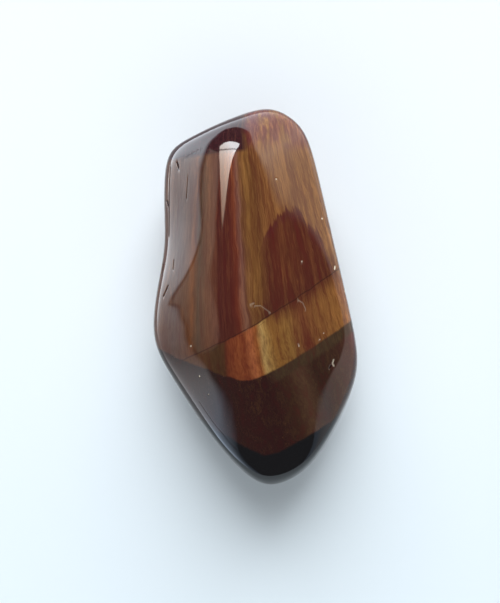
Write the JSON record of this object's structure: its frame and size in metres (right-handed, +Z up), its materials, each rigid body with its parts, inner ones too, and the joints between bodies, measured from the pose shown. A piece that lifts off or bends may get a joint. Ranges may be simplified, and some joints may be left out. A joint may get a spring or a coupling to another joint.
{
  "type": "tumbled tiger's eye stone",
  "caption": "Polished tumbled stone pebble, long and blunt with a tapered dark end, lying on its flattened underside.",
  "frame": {"origin": "middle of the stone's box, on the surface that the stone rests on", "axes": "+Z up, the stone's thickness; +Y along the stone's length, towards its blunt end and away from the black end; +X across it"},
  "size_m": [0.0156, 0.0284, 0.0111],
  "materials": {
    "polished_stone": "glossy tumbled polish over silky red-brown and gold fibres, with a black end"
  },
  "bodies": {
    "root": {"tigers_eye": "polished_stone"}
  },
  "joints": []
}
